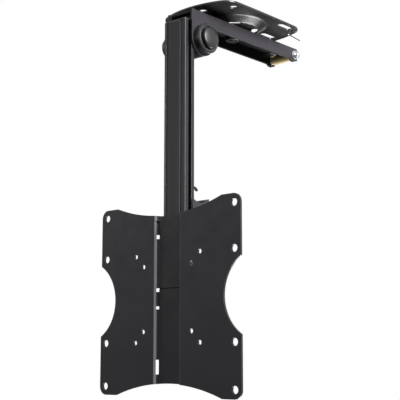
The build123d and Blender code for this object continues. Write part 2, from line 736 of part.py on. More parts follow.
# Mounting bracket: two side walls with welded feet, joined by a web behind the column
bracket_front_y = screen_back_y + recess_depth - foot_setback
foot_plate_y = screen_back_y + bracket_sheet
with BuildPart() as mounting_bracket:
    with BuildSketch(Plane.YZ.offset(-bracket_outer)) as wall:
        low_z = screen_centre_z + foot_low[0]
        with BuildLine():
            wall_front = bracket_front_y
            low_back = bracket_front_y + bracket_low_depth
            mid_back = bracket_front_y + bracket_mid_depth
            high_back = bracket_front_y + bracket_high_depth
            ear_front = screen_front_y + ear_front_y
            ear_top = screen_centre_z + bracket_ear_top
            web_top = screen_centre_z + bracket_web_top
            dip_mid = ((ear_front + high_back) / 2, ear_top - ear_dip)
            Polyline(
                (high_back, web_top),
                (high_back, screen_centre_z + bracket_web_bottom),
                (mid_back, screen_centre_z + bracket_fixing_z[1]),
                (mid_back, screen_centre_z + foot_middle[0] - slot_inner),
                (low_back, screen_centre_z + foot_middle[0] - 2 * slot_inner - bracket_low_depth),
                (low_back, low_z),
                (wall_front, low_z),
                (wall_front, screen_centre_z + foot_top[1]),
                (ear_front, screen_centre_z + foot_top[1] + bracket_low_depth),
                (ear_front, ear_top),
                (ear_front + bracket_sheet, ear_top),
            )
            ThreePointArc(
                (ear_front + bracket_sheet, ear_top),
                dip_mid,
                (high_back, web_top),
            )
        make_face()
    extrude(amount=2 * bracket_outer)
    with BuildSketch(Plane.XY.offset(low_z)):
        with Locations((0, bracket_front_y)):
            Rectangle(
                2 * column_half,
                bracket_high_depth - bracket_sheet,
                align=(Align.CENTER, Align.MIN),
            )
    extrude(amount=bracket_web_top - foot_low[0], mode=Mode.SUBTRACT)
    # Below the web the back stays open
    with BuildSketch(Plane.XY.offset(low_z)):
        with Locations((0, bracket_front_y)):
            Rectangle(2 * column_half, 2 * bracket_high_depth, align=(Align.CENTER, Align.MIN))
    extrude(amount=bracket_web_bottom - foot_low[0], mode=Mode.SUBTRACT)
    # The latch hook passes through a notch in the web
    with BuildSketch(Plane.XZ.offset(-(screen_back_y + bracket_mid_depth))):
        with Locations((-column_half, screen_centre_z + web_notch_bottom)):
            Rectangle(web_notch_width, 2 * bracket_high_depth, align=(Align.MIN, Align.MIN))
    extrude(amount=-bracket_high_depth, mode=Mode.SUBTRACT)
    # Feet that join the walls to the flanges on the back of the screen plate
    for low, high in (foot_low, foot_middle, foot_top):
        with BuildSketch(Plane.XY.offset(screen_centre_z + low)):
            for side in (-1, 1):
                with BuildLine():
                    Polyline(
                        (side * column_half, bracket_front_y + bracket_sheet),
                        (side * column_half, bracket_front_y),
                        (side * foot_knee_x, screen_back_y),
                        (side * flange_outer_x, screen_back_y),
                        (side * flange_outer_x, foot_plate_y),
                        (side * (foot_knee_x + foot_setback), foot_plate_y),
                        (side * bracket_outer, bracket_front_y + bracket_sheet),
                        close=True,
                    )
                make_face()
        extrude(amount=high - low)
    with BuildSketch(Plane.XZ.offset(-screen_back_y)):
        flange_low = tongue_bottom[0]
        flange_high = foot_top[1]
        for side in (-1, 1):
            with Locations((side * (flange_inner_x + flange_outer_x) / 2, screen_centre_z + flange_low)):
                Rectangle(
                    flange_outer_x - flange_inner_x,
                    flange_high - flange_low,
                    align=(Align.CENTER, Align.MIN),
                )
            for low, high in (tongue_bottom, tongue_top):
                with Locations((side * (tongue_inner_x + flange_outer_x) / 2, screen_centre_z + low)):
                    Rectangle(flange_outer_x - tongue_inner_x, high - low, align=(Align.CENTER, Align.MIN))
    extrude(amount=-bracket_sheet)
    for z in bracket_fixing_z:
        bore(
            slot_screw_radius + screw_clearance,
            -bracket_outer,
            bracket_outer,
            column_mid_y,
            screen_centre_z + z,
        )
    bore(latch_pin_radius, -bracket_outer, bracket_outer, latch_pin_y, latch_pin_z)
mounting_bracket.part.label = "mounting_bracket"
export_step(mounting_bracket.part, "parts/mounting_bracket.step")

# Slide nuts in the column's slots, and the screws that clamp the bracket to them
nut_outer_x = column_half - slot_lip
with BuildPart() as slot_nuts:
    for side in (-1, 1):
        for z in bracket_fixing_z:
            start = nut_outer_x if side > 0 else -nut_outer_x + slot_nut_thickness
            with BuildSketch(Plane.YZ.offset(start)):
                with Locations((column_mid_y, screen_centre_z + z)):
                    Rectangle(slot_inner - 2 * slot_nut_clearance, slot_nut_length)
                    Circle(slot_screw_radius, mode=Mode.SUBTRACT)
            extrude(amount=-slot_nut_thickness)
slot_nuts.part.label = "slot_nuts"
export_step(slot_nuts.part, "parts/slot_nuts.step")

with BuildPart() as slot_screws:
    for side in (-1, 1):
        for z in bracket_fixing_z:
            with BuildSketch(Plane.YZ.offset(side * bracket_outer)):
                with Locations((column_mid_y, screen_centre_z + z)):
                    Circle(slot_screw_head)
            extrude(amount=side * slot_screw_head_height)
            with BuildSketch(Plane.YZ.offset(side * (nut_outer_x - slot_nut_thickness))):
                with Locations((column_mid_y, screen_centre_z + z)):
                    Circle(slot_screw_radius)
            extrude(amount=side * (bracket_outer - nut_outer_x + slot_nut_thickness))
slot_screws.part.label = "slot_screws"
export_step(slot_screws.part, "parts/slot_screws.step")

# Latch: the hook is drawn on the line from its pin to the folded-up roller
roller_reach = roller_y - hinge_y
roller_rise = roller_z - hinge_z
pin_reach = hinge_z - latch_pin_z
pin_rise = latch_pin_y - hinge_y
hook_reach = math.hypot(pin_reach - roller_reach, roller_rise - pin_rise)
closed_angle = math.degrees(math.atan2(pin_reach - roller_reach, roller_rise - pin_rise))
open_angle = closed_angle + latch_open_angle
mouth_radius = roller_radius + latch_roller_gap
hook_outer = mouth_radius + latch_nose
hook_left_x = -column_half + latch_side_gap
with BuildPart() as latch_hook:
    reach_way = (0, math.cos(math.radians(open_angle)), math.sin(math.radians(open_angle)))
    hook_plane = Plane((hook_left_x, latch_pin_y, latch_pin_z), x_dir=reach_way, z_dir=(1, 0, 0))
    with BuildSketch(hook_plane) as hook_shape:
        Circle(latch_boss_radius)
        with Locations((hook_reach, 0)):
            Circle(hook_outer)
        make_hull()
        with Locations((hook_reach, 0)):
            Circle(mouth_radius, mode=Mode.SUBTRACT)
        with Locations((hook_reach + mouth_radius, 0)):
            Rectangle(
                2 * mouth_radius + latch_throat,
                2 * hook_outer,
                align=(Align.MAX, Align.MAX),
                mode=Mode.SUBTRACT,
            )
        with Locations((hook_reach, -latch_nose_overlap)):
            Rectangle(
                2 * hook_outer,
                2 * hook_outer,
                align=(Align.MIN, Align.MAX),
                mode=Mode.SUBTRACT,
            )
    extrude(amount=latch_sheet)
    # Tail with a finger tab, which stops against the lower edge of the bracket's web
    with BuildSketch(Plane.YZ.offset(hook_left_x)):
        with BuildLine():
            stop_z = screen_centre_z + bracket_web_bottom - latch_stop_gap
            Polyline(
                (latch_pin_y - latch_tail_width / 2, latch_pin_z),
                (latch_pin_y + latch_tail_width / 2, latch_pin_z),
                (latch_pin_y + latch_tail_width, stop_z),
                (latch_pin_y + latch_tab_length, stop_z),
                (latch_pin_y + latch_tab_length, stop_z - latch_tail_width / 2),
                (latch_pin_y + latch_tail_width / 2, stop_z - latch_tail_width),
                close=True,
            )
        make_face()
    extrude(amount=latch_sheet)
    bore(latch_pin_radius + running_clearance, hook_left_x, hook_left_x + latch_sheet, latch_pin_y, latch_pin_z)
latch_hook.part.label = "latch_hook"
export_step(latch_hook.part, "parts/latch_hook.step")

clip_seat_x = bracket_outer
with BuildPart() as latch_pin:
    solid_rod(latch_pin_radius, -bracket_outer, bracket_outer + clip_thickness + pin_end, latch_pin_y, latch_pin_z)
    solid_rod(pin_head_radius, -bracket_outer - pin_head_height, -bracket_outer, latch_pin_y, latch_pin_z)
latch_pin.part.label = "latch_pin"
export_step(latch_pin.part, "parts/latch_pin.step")

with BuildPart() as latch_clip:
    with BuildSketch(Plane.YZ.offset(clip_seat_x)):
        with Locations((latch_pin_y, latch_pin_z)):
            Circle(clip_radius)
            Circle(latch_pin_radius, mode=Mode.SUBTRACT)
            Rectangle(clip_radius, clip_radius, align=(Align.CENTER, Align.MAX), mode=Mode.SUBTRACT)
    extrude(amount=clip_thickness)
latch_clip.part.label = "latch_clip"
export_step(latch_clip.part, "parts/latch_clip.step")

spacer_left_x = hook_left_x + latch_sheet + latch_side_gap
with BuildPart() as latch_spacer:
    with BuildSketch(Plane.YZ.offset(spacer_left_x)):
        with Locations((latch_pin_y, latch_pin_z)):
            Circle(latch_spacer_radius)
            Circle(latch_pin_radius, mode=Mode.SUBTRACT)
    extrude(amount=column_half - spacer_left_x)
latch_spacer.part.label = "latch_spacer"
export_step(latch_spacer.part, "parts/latch_spacer.step")

# Torsion spring round the spacer
spring_start_x = spacer_left_x + spring_inset
with BuildPart() as latch_spring:
    with BuildLine() as coil:
        Helix(
            pitch=spring_pitch,
            height=spring_pitch * spring_turns,
            radius=spring_radius,
            center=(spring_start_x, latch_pin_y, latch_pin_z),
            direction=(1, 0, 0),
        )
    with BuildSketch(Plane(origin=coil.line @ 0, z_dir=coil.line % 0)):
        Circle(spring_wire)
    sweep()
latch_spring.part.label = "latch_spring"
export_step(latch_spring.part, "parts/latch_spring.step")

# Cable hook: a bent wire in a hole of the ceiling plate, which clears the arm
hook_low_z = arm_top_z + hook_arm_gap + hook_wire
hook_elbow_x = hook_x - hook_lean
hook_elbow_y = hook_y + hook_lean_y
with BuildPart() as cable_hook:
    with BuildLine() as wire_path:
        FilletPolyline(
            (hook_x, hook_y, 0),
            (hook_x, hook_y, -ceiling_sheet - hook_drop),
            (hook_elbow_x, hook_elbow_y, hook_low_z),
            (hook_elbow_x - hook_reach_x, hook_elbow_y + hook_reach_y, hook_low_z),
            radius=hook_bend,
        )
    with BuildSketch(Plane(origin=wire_path.line @ 0, z_dir=wire_path.line % 0)):
        Circle(hook_wire)
    sweep()
cable_hook.part.label = "cable_hook"
export_step(cable_hook.part, "parts/cable_hook.step")
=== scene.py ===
"""Looks of the folding television mount: materials, fine pieces, light and camera."""
import json
import math

import bmesh
import bpy
from mathutils import Matrix, Vector


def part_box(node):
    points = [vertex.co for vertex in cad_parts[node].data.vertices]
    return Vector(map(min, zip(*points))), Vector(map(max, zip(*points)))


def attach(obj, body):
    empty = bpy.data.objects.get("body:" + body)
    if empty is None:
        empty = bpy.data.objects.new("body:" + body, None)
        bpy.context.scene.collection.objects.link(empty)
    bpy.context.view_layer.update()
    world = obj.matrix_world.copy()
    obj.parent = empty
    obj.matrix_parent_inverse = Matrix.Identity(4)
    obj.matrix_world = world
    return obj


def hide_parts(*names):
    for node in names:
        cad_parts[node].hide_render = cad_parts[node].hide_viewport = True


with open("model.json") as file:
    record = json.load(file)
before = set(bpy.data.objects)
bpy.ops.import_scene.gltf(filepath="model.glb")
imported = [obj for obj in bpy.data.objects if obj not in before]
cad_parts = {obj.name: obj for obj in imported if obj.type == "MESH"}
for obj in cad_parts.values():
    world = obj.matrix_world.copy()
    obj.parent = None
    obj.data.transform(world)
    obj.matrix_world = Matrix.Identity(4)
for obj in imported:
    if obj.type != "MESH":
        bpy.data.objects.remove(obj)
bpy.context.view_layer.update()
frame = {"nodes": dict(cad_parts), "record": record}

MM = 0.001
RING_POINTS = 72

# Bands in a coat, a darker one that is painted shade and a light one that is a painted highlight: how
# softly they end, and their tones
BAND_SOFTNESS = 0.25 * MM
PAINTED_SHADE_TONE = (0.011, 0.011, 0.011)
PAINTED_SHADE_SPECULAR = 0.1
PAINTED_HIGHLIGHT_TONE = (0.11, 0.11, 0.115)

# Scales of the noises in the finishes; a higher one is finer
PATCH_SCALE = 140.0
SMUDGE_SCALE = 45.0
DRIFT_SCALE = 18.0
STAIN_SCALE = 260.0
POLISH_SCALE = 120.0

# Colours that several coats share
POWDER_BLACK = (0.0245, 0.0225, 0.0265)
RUBBED_STEEL = (0.14, 0.14, 0.145)

# Threads: depth as a share of the pitch, rings for each pitch, and in mm the point and the start
THREAD_DEPTH = 0.55
THREAD_RINGS = 6
THREAD_POINT = 0.8
THREAD_START = 0.1

# Weld beads in mm: length of one ripple, and its height as a share of the bead's
RIPPLE_LENGTH = 1.3
RIPPLE_SHARE = 0.1


# Materials

def new_material(name):
    """An empty material with a Principled shader, its tree and that shader."""
    material = bpy.data.materials.new(name)
    material.use_nodes = True
    tree = material.node_tree
    tree.nodes.clear()
    output = tree.nodes.new("ShaderNodeOutputMaterial")
    shader = tree.nodes.new("ShaderNodeBsdfPrincipled")
    tree.links.new(shader.outputs["BSDF"], output.inputs["Surface"])
    return material, tree, shader


def object_coords(tree, stretch):
    """Coordinates that stay with the piece, squeezed or stretched along its axes."""
    coords = tree.nodes.new("ShaderNodeTexCoord")
    mapping = tree.nodes.new("ShaderNodeMapping")
    mapping.inputs["Scale"].default_value = stretch
    tree.links.new(coords.outputs["Object"], mapping.inputs["Vector"])
    return mapping.outputs["Vector"]


def noise(tree, coords, scale, detail=3.0, rough=0.5):
    """A seedless noise from 0 to 1 over the coordinates."""
    node = tree.nodes.new("ShaderNodeTexNoise")
    node.inputs["Scale"].default_value = scale
    node.inputs["Detail"].default_value = detail
    node.inputs["Roughness"].default_value = rough
    tree.links.new(coords, node.inputs["Vector"])
    return node.outputs["Fac"]


def spread(tree, value, low, high, low_at=0.3, high_at=0.7):
    """Maps a value from low_at..high_at to low..high."""
    node = tree.nodes.new("ShaderNodeMapRange")
    node.inputs["From Min"].default_value = low_at
    node.inputs["From Max"].default_value = high_at
    node.inputs["To Min"].default_value = low
    node.inputs["To Max"].default_value = high
    tree.links.new(value, node.inputs["Value"])
    return node.outputs["Result"]


def blend_colours(tree, first, second, share):
    """Mixes two colours, each a tuple or a socket, by a share."""
    node = tree.nodes.new("ShaderNodeMix")
    node.data_type = "RGBA"
    for name, colour in (("A", first), ("B", second)):
        if isinstance(colour, tuple):
            node.inputs[name].default_value = colour + (1,)
        else:
            tree.links.new(colour, node.inputs[name])
    tree.links.new(share, node.inputs["Factor"])
    return node.outputs["Result"]


def multiply(tree, first, second):
    """The product of two sockets."""
    node = tree.nodes.new("ShaderNodeMath")
    node.operation = "MULTIPLY"
    tree.links.new(first, node.inputs[0])
    tree.links.new(second, node.inputs[1])
    return node.outputs["Value"]


def soft_edge(tree, radius, wide=None):
    """A normal that rounds the sharp edges, and how far it turns there.

    Wide is (radius, reach): a larger rounding within that reach of the Z axis.
    """
    bevel = tree.nodes.new("ShaderNodeBevel")
    bevel.samples = 6
    bevel.inputs["Radius"].default_value = radius
    if wide:
        flat = tree.nodes.new("ShaderNodeVectorMath")
        flat.operation = "MULTIPLY"
        flat.inputs[1].default_value = (1, 1, 0)
        tree.links.new(object_coords(tree, (1, 1, 1)), flat.inputs[0])
        reach = tree.nodes.new("ShaderNodeVectorMath")
        reach.operation = "LENGTH"
        tree.links.new(flat.outputs["Vector"], reach.inputs[0])
        near, far = wide[1] - 1 * MM, wide[1] + 1 * MM
        rounding = spread(tree, reach.outputs["Value"], wide[0], radius, near, far)
        bevel.samples = 14
        tree.links.new(rounding, bevel.inputs["Radius"])
    geometry = tree.nodes.new("ShaderNodeNewGeometry")
    turn = tree.nodes.new("ShaderNodeVectorMath")
    turn.operation = "DOT_PRODUCT"
    tree.links.new(bevel.outputs["Normal"], turn.inputs[0])
    tree.links.new(geometry.outputs["Normal"], turn.inputs[1])
    return bevel.outputs["Normal"], turn.outputs["Value"]


def band_beside_middle(tree, start, end, soft):
    """1 where a point's distance from the plane x = 0 lies between start and end, in metres."""
    parts = tree.nodes.new("ShaderNodeSeparateXYZ")
    tree.links.new(object_coords(tree, (1, 1, 1)), parts.inputs["Vector"])
    size = tree.nodes.new("ShaderNodeMath")
    size.operation = "ABSOLUTE"
    tree.links.new(parts.outputs["X"], size.inputs[0])
    rise = spread(tree, size.outputs["Value"], 0.0, 1.0, start - soft, start + soft)
    fall = spread(tree, size.outputs["Value"], 1.0, 0.0, end - soft, end + soft)
    return multiply(tree, rise, fall)


def bump(tree, height, distance, strength, normal):
    """A normal that follows a fine height, on top of another normal."""
    node = tree.nodes.new("ShaderNodeBump")
    node.inputs["Strength"].default_value = strength
    node.inputs["Distance"].default_value = distance
    tree.links.new(height, node.inputs["Height"])
    tree.links.new(normal, node.inputs["Normal"])
    return node.outputs["Normal"]


def coat(
    name, colour, edge_wear_and_highlight_tone, roughness, specular=0.25, grain=2200.0, grain_height=0.04, edge=0.4,
    edge_wear_and_highlight_amount=0.25, stretch=(1, 1, 1), wide=None, painted_shade_band=None, light=None,
):
    """A painted, anodised or moulded black surface: grain, smudges, and lighter edges that are scuffing
    and, where the edge colour is bright, also a painted highlight.

    Grain is a noise scale; grain_height and edge, the rounding of the edges, are in mm.
    The amount given for the edge colour is its largest share, and wide is as in soft_edge.
    The two bands are (start, end) ranges of distance from the plane x = 0, in metres: the first is
    painted shade, darker and less glossy, and the light one is a painted highlight.
    """
    material, tree, shader = new_material(name)
    coords = object_coords(tree, stretch)
    normal, edge_turn = soft_edge(tree, edge * MM, wide)
    # Lighter edges: scuffing, and on the anodised and moulded coats, whose edge colour is bright, also a
    # painted highlight along corners and rims
    edge_wear_and_highlight_mask = spread(tree, edge_turn, edge_wear_and_highlight_amount, 0.0, 0.86, 0.995)
    patches = spread(tree, noise(tree, coords, PATCH_SCALE, 5.0, 0.7), 0.35, 1.0, 0.42, 0.6)
    drift = spread(tree, noise(tree, coords, DRIFT_SCALE, 4.0, 0.6), 0.0, 1.0)
    darker = tuple(c * 0.88 for c in colour)
    lighter = tuple(c * 1.12 for c in colour)
    base = blend_colours(tree, darker, lighter, drift)
    tone_with_wear_and_painted_light = blend_colours(tree, base, edge_wear_and_highlight_tone, multiply(tree, edge_wear_and_highlight_mask, patches))
    # Painted shade: a darker band where the surface lies in shade
    if painted_shade_band:
        painted_shade_share = band_beside_middle(tree, *painted_shade_band, BAND_SOFTNESS)
        tone_with_wear_and_painted_light = blend_colours(tree, tone_with_wear_and_painted_light, PAINTED_SHADE_TONE, painted_shade_share)
    # Painted highlight: a light band where a fold catches the light
    if light:
        painted_highlight_share = band_beside_middle(tree, *light, BAND_SOFTNESS)
        tone_with_wear_and_painted_light = blend_colours(tree, tone_with_wear_and_painted_light, PAINTED_HIGHLIGHT_TONE, painted_highlight_share)
    tree.links.new(tone_with_wear_and_painted_light, shader.inputs["Base Color"])
    smudges = noise(tree, coords, SMUDGE_SCALE, 6.0, 0.65)
    rough_range = spread(tree, smudges, roughness - 0.06, roughness + 0.06, 0.35, 0.65)
    tree.links.new(rough_range, shader.inputs["Roughness"])
    shader.inputs["Specular IOR Level"].default_value = specular
    # The painted shade band is also made less glossy, to darken it further
    if painted_shade_band:
        painted_shade_specular = spread(tree, painted_shade_share, specular, PAINTED_SHADE_SPECULAR, 0.0, 1.0)
        tree.links.new(painted_shade_specular, shader.inputs["Specular IOR Level"])
    grained = bump(tree, noise(tree, coords, grain, 2.0), grain_height * MM, 0.5, normal)
    tree.links.new(grained, shader.inputs["Normal"])
    return material


def metal(name, colour, stain, roughness, stain_share=0.25, scratch=900.0, stretch=(1, 1, 1)):
    """A plated or bare metal with fine scratches and slight stains."""
    material, tree, shader = new_material(name)
    coords = object_coords(tree, stretch)
    spots = noise(tree, object_coords(tree, (1, 1, 1)), STAIN_SCALE, 5.0, 0.7)
    stains = spread(tree, spots, 0.0, stain_share, 0.5, 0.72)
    tree.links.new(blend_colours(tree, colour, stain, stains), shader.inputs["Base Color"])
    shader.inputs["Metallic"].default_value = 1.0
    polish = noise(tree, coords, POLISH_SCALE, 4.0)
    rough_range = spread(tree, polish, roughness * 0.75, roughness * 1.3)
    tree.links.new(rough_range, shader.inputs["Roughness"])
    normal, _ = soft_edge(tree, 0.25 * MM)
    scratched = bump(tree, noise(tree, coords, scratch, 3.0), 0.03 * MM, 0.35, normal)
    tree.links.new(scratched, shader.inputs["Normal"])
    return material


by_slot = {
    "black_steel": coat("black_powder_coat", POWDER_BLACK, RUBBED_STEEL, 0.44),
    # Its bright edge colour and large edge share paint a highlight along the column's corners, on top of
    # scuffing
    "black_aluminium": coat(
        "black_anodised", (0.012, 0.0108, 0.0135), (0.5, 0.49, 0.51), 0.4,
        specular=0.27, edge=0.6, edge_wear_and_highlight_amount=0.5, grain=1500.0, grain_height=0.02, stretch=(1, 1, 0.02),
    ),
    # Its bright edge colour and large edge share paint a highlight on the hub's rims, on top of scuffing
    "black_plastic": coat(
        "black_moulded", (0.007, 0.007, 0.008), (0.3, 0.3, 0.3), 0.36,
        specular=0.5, edge=0.6, grain=3200.0, grain_height=0.03, edge_wear_and_highlight_amount=0.6,
    ),
    "black_screws": coat(
        "black_oxide", (0.022, 0.022, 0.024), (0.2, 0.2, 0.2), 0.3, grain=3000.0, grain_height=0.01,
    ),
    "zinc_steel": metal("zinc_plate", (0.72, 0.73, 0.74), (0.4, 0.38, 0.34), 0.26),
    "bright_wire": metal("bright_nickel", (0.34, 0.34, 0.35), (0.2, 0.19, 0.18), 0.2, 0.3, 500.0),
    "roller_brass": metal(
        "drawn_brass", (0.53, 0.42, 0.225), (0.27, 0.2, 0.1), 0.52,
        stain_share=0.5, scratch=700.0, stretch=(0.15, 1, 1),
    ),
}
# A darker, glossier copy of the powder coat, whose edges round wider near the dome: its darker base
# colour is painted shade on the plate's underside
dome_steel_painted_shade = coat(
    "black_powder_coat_dome_painted_shade", (0.013, 0.0125, 0.0135), RUBBED_STEEL, 0.3, specular=0.4,
    wide=(3 * MM, 50 * MM),
)
# A near-black, less glossy copy of the powder coat: painted shade on the knuckle, which sits under the
# ceiling plate
knuckle_steel_painted_shade = coat(
    "black_powder_coat_knuckle_painted_shade", (0.006, 0.006, 0.0065), (0.05, 0.05, 0.052), 0.5, specular=0.12,
)
# The darker band beside both folds is painted shade, and the light band on their outer bends is a painted
# highlight
screen_steel_painted_shade_and_highlight = coat(
    "black_powder_coat_screen_painted_shade_and_highlight", (0.0215, 0.0193, 0.0233), RUBBED_STEEL, 0.44, specular=0.22,
    painted_shade_band=(14.6 * MM, 18.0 * MM), light=(18.0 * MM, 20.7 * MM),
)
# The darker, less glossy band over the part of the channel between its flanges is painted shade
channel_steel_painted_shade = coat(
    "black_powder_coat_channel_painted_shade", POWDER_BLACK, RUBBED_STEEL, 0.44, painted_shade_band=(-1.0 * MM, 17.8 * MM),
)
# Parts that take the copies of the powder coat with painted shade or painted highlights
finish_of = {
    "ceiling_plate": dome_steel_painted_shade, "hinge_knuckle": knuckle_steel_painted_shade, "tv_plate": screen_steel_painted_shade_and_highlight,
    "arm_channel": channel_steel_painted_shade,
}
slot_of = {part["node"]: part["material_slot"] for part in frame["record"]["subparts"]}
for node, solid in frame["nodes"].items():
    solid.data.materials.clear()
    solid.data.materials.append(finish_of.get(node, by_slot[slot_of[node]]))


# Mesh helpers

def add_piece(name, mesh, body, slot, sharp_angle=35):
    """Turns a bmesh into an object that rides on a body and takes its slot's finish."""
    bmesh.ops.recalc_face_normals(mesh, faces=mesh.faces)
    data = bpy.data.meshes.new(name)
    mesh.to_mesh(data)
    mesh.free()
    for face in data.polygons:
        face.use_smooth = True
    data.set_sharp_from_angle(angle=math.radians(sharp_angle))
    data.materials.append(by_slot[slot])
    piece = bpy.data.objects.new(name, data)
    bpy.context.scene.collection.objects.link(piece)
    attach(piece, body)
    return piece


def add_rings(mesh, rings, loop=False):
    """Joins rings of equally many points; the ends close on their middles or on each other."""
    rows = [[mesh.verts.new(point) for point in ring] for ring in rings]
    pairs = list(zip(rows, rows[1:]))
    if loop:
        pairs.append((rows[-1], rows[0]))
    for low, high in pairs:
        for i in range(len(low)):
            j = (i + 1) % len(low)
            mesh.faces.new((low[i], low[j], high[j], high[i]))
    if loop:
        return
    for row in (rows[0], rows[-1]):
        middle = mesh.verts.new(sum((v.co for v in row), Vector()) / len(row))
        for i in range(len(row)):
            mesh.faces.new((row[i], row[(i + 1) % len(row)], middle))


def hex_reach(flats, angle):
    """Distance from the middle of a hexagon to its side; a corner lies at angle 0."""
    within = (angle + math.pi / 6) % (math.pi / 3) - math.pi / 6
    return flats / 2 / math.cos(math.pi / 6 - abs(within))


def level(height, radius, flats=None, pitch=None):
    """One ring of a turned piece: round, hexagonal up to a radius, or on a thread."""
    ring = []
    for i in range(RING_POINTS):
        share = i / RING_POINTS
        angle = 2 * math.pi * share
        reach = radius
        if flats:
            reach = min(radius, hex_reach(flats, angle))
        if pitch:
            phase = (height / pitch - share) % 1
            reach = radius - THREAD_DEPTH * pitch * abs(2 * phase - 1)
        ring.append(Vector((reach * math.cos(angle), reach * math.sin(angle), height)))
    return ring


def hex_levels(flats, low, high):
    """Levels of a hexagon whose corners are turned off at both ends."""
    half = flats / 2
    end_radius = 0.95 * half
    depths = [0.0, 0.03 * half, 0.06 * half, 0.09 * half, 0.125 * half]
    start = [level(low + d, end_radius + d * math.sqrt(3), flats) for d in depths]
    end = [level(high - d, end_radius + d * math.sqrt(3), flats) for d in reversed(depths)]
    return start + end


def thread_levels(radius, pitch, low, high):
    """Levels of a threaded shank with a pointed start at its high end."""
    count = max(4, round((high - low) / pitch * THREAD_RINGS))
    heights = [low + (high - low) * i / count for i in range(count + 1)]
    return [level(h, radius - max(0.0, h - high + THREAD_POINT), pitch=pitch) for h in heights]


def socket_levels(radius, height, flats, socket_depth, edge=0.5):
    """Levels of a screw head from its seat at 0 to its top, with a hexagon socket."""
    wall = [level(0, radius), level(height - edge, radius)]
    for share in (0.3, 0.7, 1.0):
        angle = share * math.pi / 2
        wall.append(level(height - edge + edge * math.sin(angle), radius - edge + edge * math.cos(angle)))
    mouth_depth = 0.25
    rim = [level(height, flats * 0.66, flats * 1.12), level(height - mouth_depth, flats, flats)]
    bottom = [level(height - socket_depth, flats, flats), level(height - socket_depth, flats * 0.3)]
    return wall + rim + bottom


def stand(origin, way):
    """Matrix, in metres, that stands a millimetre shape on origin and points its Z along way."""
    z_axis = Vector(way).normalized()
    x_axis = Vector((0, 1, 0)) if abs(z_axis.x) > 0.5 else Vector((1, 0, 0))
    y_axis = z_axis.cross(x_axis)
    rotation = Matrix((x_axis, y_axis, z_axis)).transposed().to_4x4()
    return Matrix.Translation(Vector(origin) * MM) @ rotation @ Matrix.Scale(MM, 4)


def placed(rings, origin, way):
    """The rings of a millimetre shape, stood on origin with its Z along way."""
    matrix = stand(origin, way)
    return [[matrix @ point for point in ring] for ring in rings]


def middle_of(node):
    """Lowest corner, highest corner and middle of a node's box, in millimetres."""
    low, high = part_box(node)
    low = Vector(low) / MM
    high = Vector(high) / MM
    return low, high, (low + high) / 2


def add_tube(mesh, points, radius, sides=14):
    """A round wire along points, in millimetres."""
    rings = []
    side = None
    for i, point in enumerate(points):
        ahead = points[min(i + 1, len(points) - 1)] - points[max(i - 1, 0)]
        ahead.normalize()
        if side is None:
            side = ahead.orthogonal().normalized()
        side = (side - ahead * side.dot(ahead)).normalized()
        other = ahead.cross(side)
        angles = [2 * math.pi * k / sides for k in range(sides)]
        rings.append([(point + (side * math.cos(a) + other * math.sin(a)) * radius) * MM for a in angles])
    add_rings(mesh, rings)


# Fasteners

def roller_fasteners():
    """Hexagon bolt with a thread, and a lock nut with a nylon ring, at the roller.

    The profiles of the nut's collar and of its ring are pairs of height and radius.
    """
    low, high, middle = middle_of("roller_bolt")
    nut_low, _, _ = middle_of("roller_nut")
    head_flats = 10.0
    head_height = 4.0
    bolt_radius = 2.98
    pitch = 1.0
    mesh = bmesh.new()
    rings = hex_levels(head_flats, 0, head_height)
    rings += [level(head_height, bolt_radius), level(nut_low.x - low.x, bolt_radius)]
    rings += thread_levels(bolt_radius, pitch, nut_low.x - low.x + THREAD_START, high.x - low.x)
    add_rings(mesh, placed(rings, (low.x, middle.y, middle.z), (1, 0, 0)))
    bolt = add_piece("roller_bolt_turned", mesh, "arm", "zinc_steel")
    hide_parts("roller_bolt")
    nut_flats = 8.4
    nut_bore = 3.05
    hex_height = 3.6
    collar = ((hex_height, 4.05), (4.7, 4.05), (4.92, 3.95), (5.0, 3.75), (4.7, 3.65), (4.7, nut_bore))
    mesh = bmesh.new()
    rings = [level(0, nut_bore)] + hex_levels(nut_flats, 0, hex_height)
    rings += [level(height, radius) for height, radius in collar]
    add_rings(mesh, placed(rings, (nut_low.x, middle.y, middle.z), (1, 0, 0)), loop=True)
    nut = add_piece("roller_lock_nut", mesh, "arm", "zinc_steel")
    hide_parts("roller_nut")
    nylon = ((4.2, 3.03), (4.2, 3.62), (4.85, 3.62), (4.92, 3.3), (4.85, 3.03))
    mesh = bmesh.new()
    rings = [level(height, radius) for height, radius in nylon]
    add_rings(mesh, placed(rings, (nut_low.x, middle.y, middle.z), (1, 0, 0)), loop=True)
    add_piece("roller_nut_nylon", mesh, "arm", "black_plastic")


def roller_tube():
    """Drawn tube that turns on the roller bolt, with bright rings pressed on its two ends."""
    low, high, middle = middle_of("roller")
    length = high.x - low.x
    bore = 3.3
    outer = (high.z - low.z) / 2 + 0.1
    edge = 0.4
    gap = 0.05
    mesh = bmesh.new()
    profile = [(gap, bore), (gap, outer - edge), (edge, outer), (length - edge, outer)]
    profile += [(length - gap, outer - edge), (length - gap, bore)]
    rings = [level(height, radius) for height, radius in profile]
    add_rings(mesh, placed(rings, (low.x, middle.y, middle.z), (1, 0, 0)), loop=True)
    tube = add_piece("roller_tube", mesh, "roller", "roller_brass")
    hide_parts("roller")
    inner = 6.1
    outer += 0.1
    width = 1.4
    front_edge = 0.25
    back_edge = 0.2
    profile = [(0, inner), (0, outer - front_edge), (front_edge, outer)]
    profile += [(width - back_edge, outer), (width, outer - back_edge), (width, inner)]
    rings_of_collar = [level(height, radius) for height, radius in profile]
    mesh = bmesh.new()
    for start, way in ((high.x, -1), (low.x, 1)):
        collar = placed(rings_of_collar, (start, middle.y, middle.z), (way, 0, 0))
        add_rings(mesh, collar, loop=True)
    add_piece("roller_collars", mesh, "roller", "zinc_steel")


